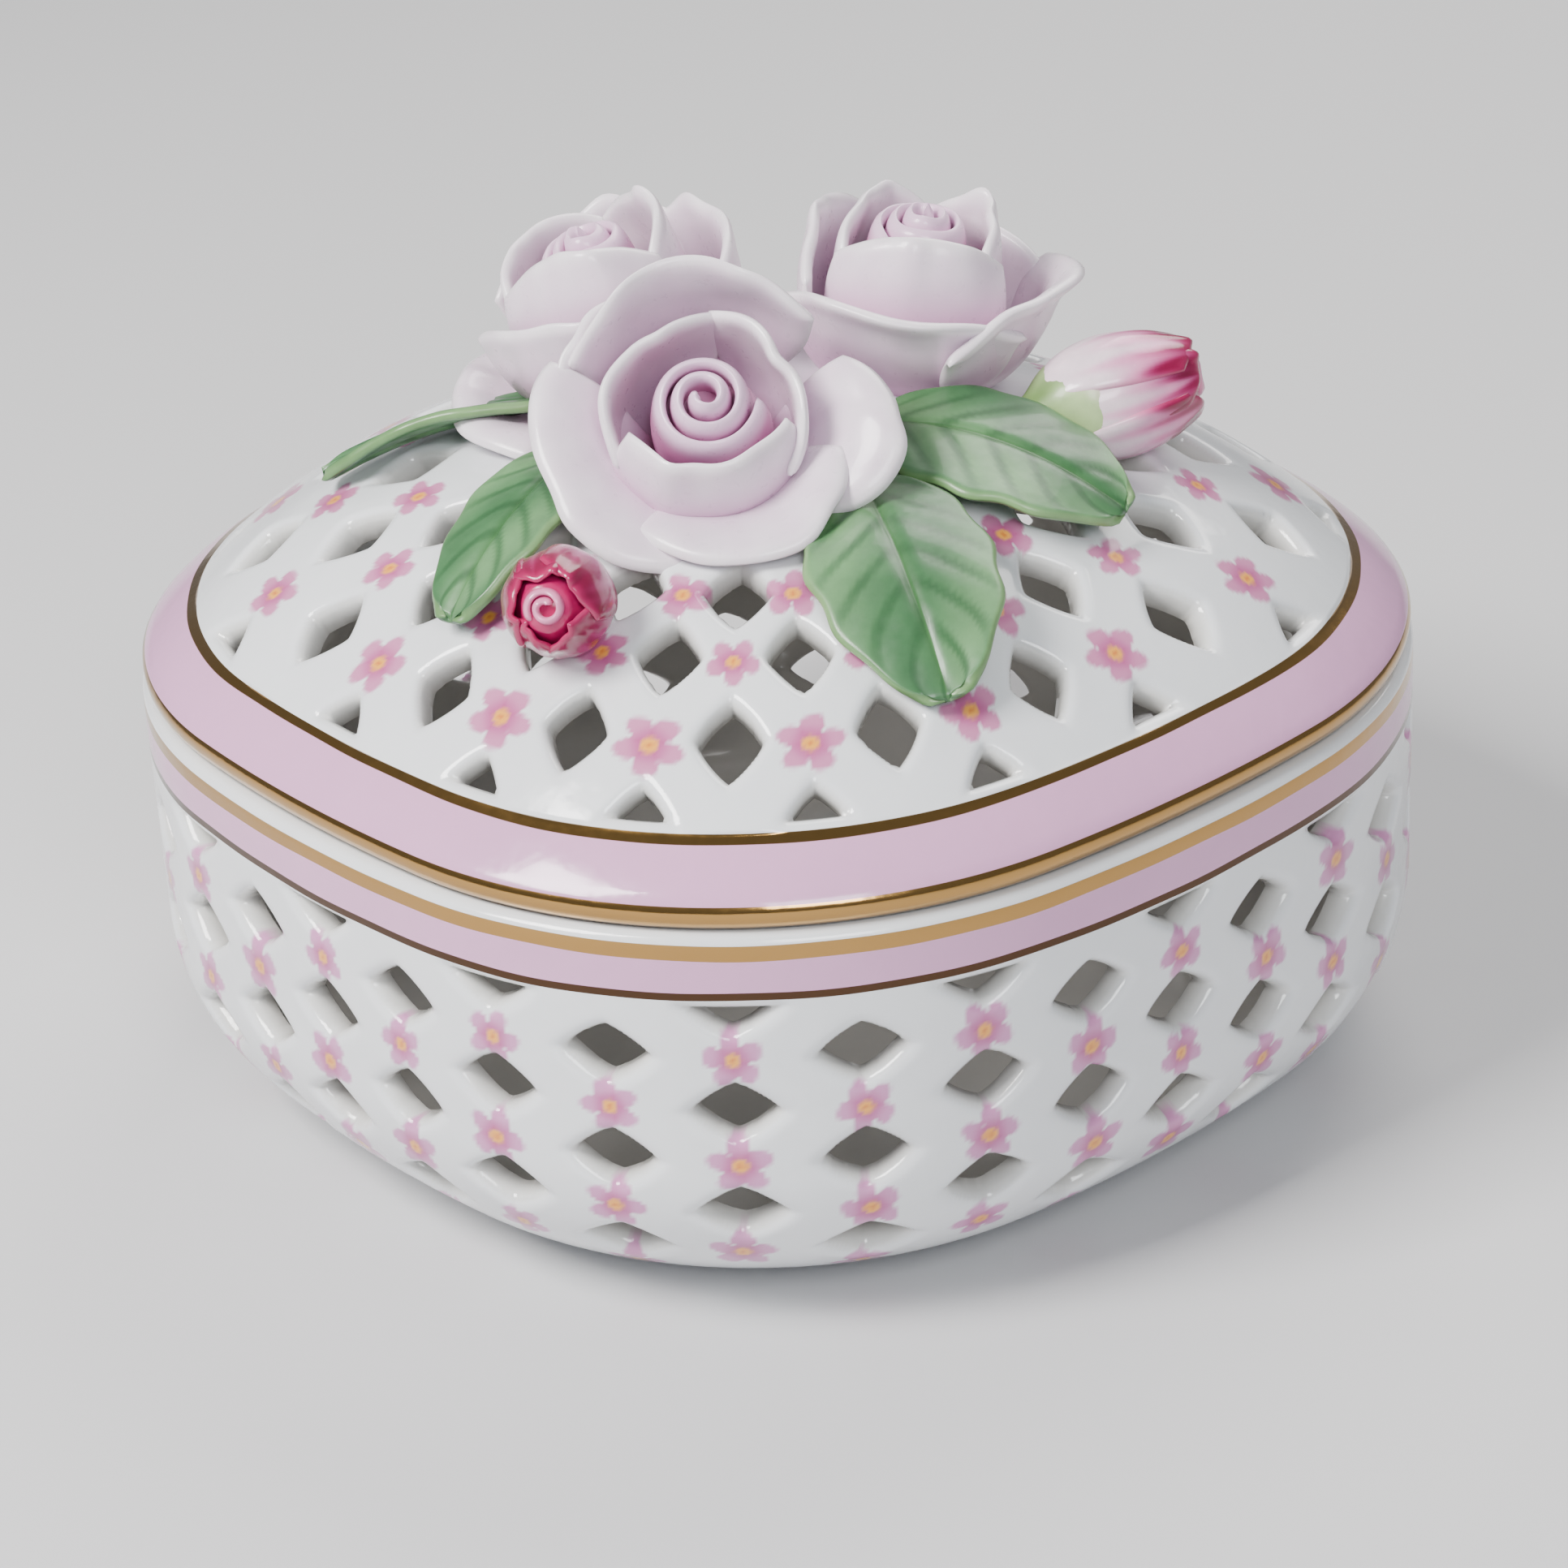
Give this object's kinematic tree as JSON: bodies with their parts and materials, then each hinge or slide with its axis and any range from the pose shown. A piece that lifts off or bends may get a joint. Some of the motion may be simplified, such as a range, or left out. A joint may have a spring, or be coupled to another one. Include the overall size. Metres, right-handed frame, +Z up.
{
  "type": "trinket box",
  "caption": "Rounded square porcelain trinket box with pierced trellis walls and a lift-off pierced domed lid that carries modelled roses, buds and leaves.",
  "frame": {"origin": "on the floor under the middle of the box", "axes": "+Z is up and is the way the lid lifts; the four bowed sides face +X, +Y, -X and -Y; the flower spray is turned towards the corner between -X and -Y"},
  "size_m": [0.1176, 0.1176, 0.0887],
  "materials": {
    "porcelain": "gloss white glaze with pink bands and gilt edges",
    "petal_glaze": "gloss pale lilac pink glaze",
    "bud_glaze": "gloss magenta glaze",
    "leaf_glaze": "gloss green glaze"
  },
  "bodies": {
    "box": {"box_body": "porcelain"},
    "lid": {"bud_front_calyx": "leaf_glaze", "bud_front_petals": "bud_glaze", "bud_right_calyx": "leaf_glaze", "bud_right_petals": "bud_glaze", "flower_pad": "leaf_glaze", "leaf_back": "leaf_glaze", "leaf_far_left": "leaf_glaze", "leaf_front": "leaf_glaze", "leaf_left": "leaf_glaze", "leaf_right": "leaf_glaze", "lid_shell": "porcelain", "rose_front_heart": "petal_glaze", "rose_front_inner_petal_1": "petal_glaze", "rose_front_inner_petal_2": "petal_glaze", "rose_front_inner_petal_3": "petal_glaze", "rose_front_outer_petal_1": "petal_glaze", "rose_front_outer_petal_2": "petal_glaze", "rose_front_outer_petal_3": "petal_glaze", "rose_front_outer_petal_4": "petal_glaze", "rose_front_outer_petal_5": "petal_glaze", "rose_left_heart": "petal_glaze", "rose_left_inner_petal_1": "petal_glaze", "rose_left_inner_petal_2": "petal_glaze", "rose_left_inner_petal_3": "petal_glaze", "rose_left_outer_petal_1": "petal_glaze", "rose_left_outer_petal_2": "petal_glaze", "rose_left_outer_petal_3": "petal_glaze", "rose_left_outer_petal_4": "petal_glaze", "rose_right_heart": "petal_glaze", "rose_right_inner_petal_1": "petal_glaze", "rose_right_inner_petal_2": "petal_glaze", "rose_right_inner_petal_3": "petal_glaze", "rose_right_outer_petal_1": "petal_glaze", "rose_right_outer_petal_2": "petal_glaze", "rose_right_outer_petal_3": "petal_glaze", "rose_right_outer_petal_4": "petal_glaze"}
  },
  "joints": [
    {"name": "lid_lift", "type": "slide", "parent": "box", "child": "lid", "axis": [0, 0, 1], "range_m": [0, 0.08]}
  ]
}
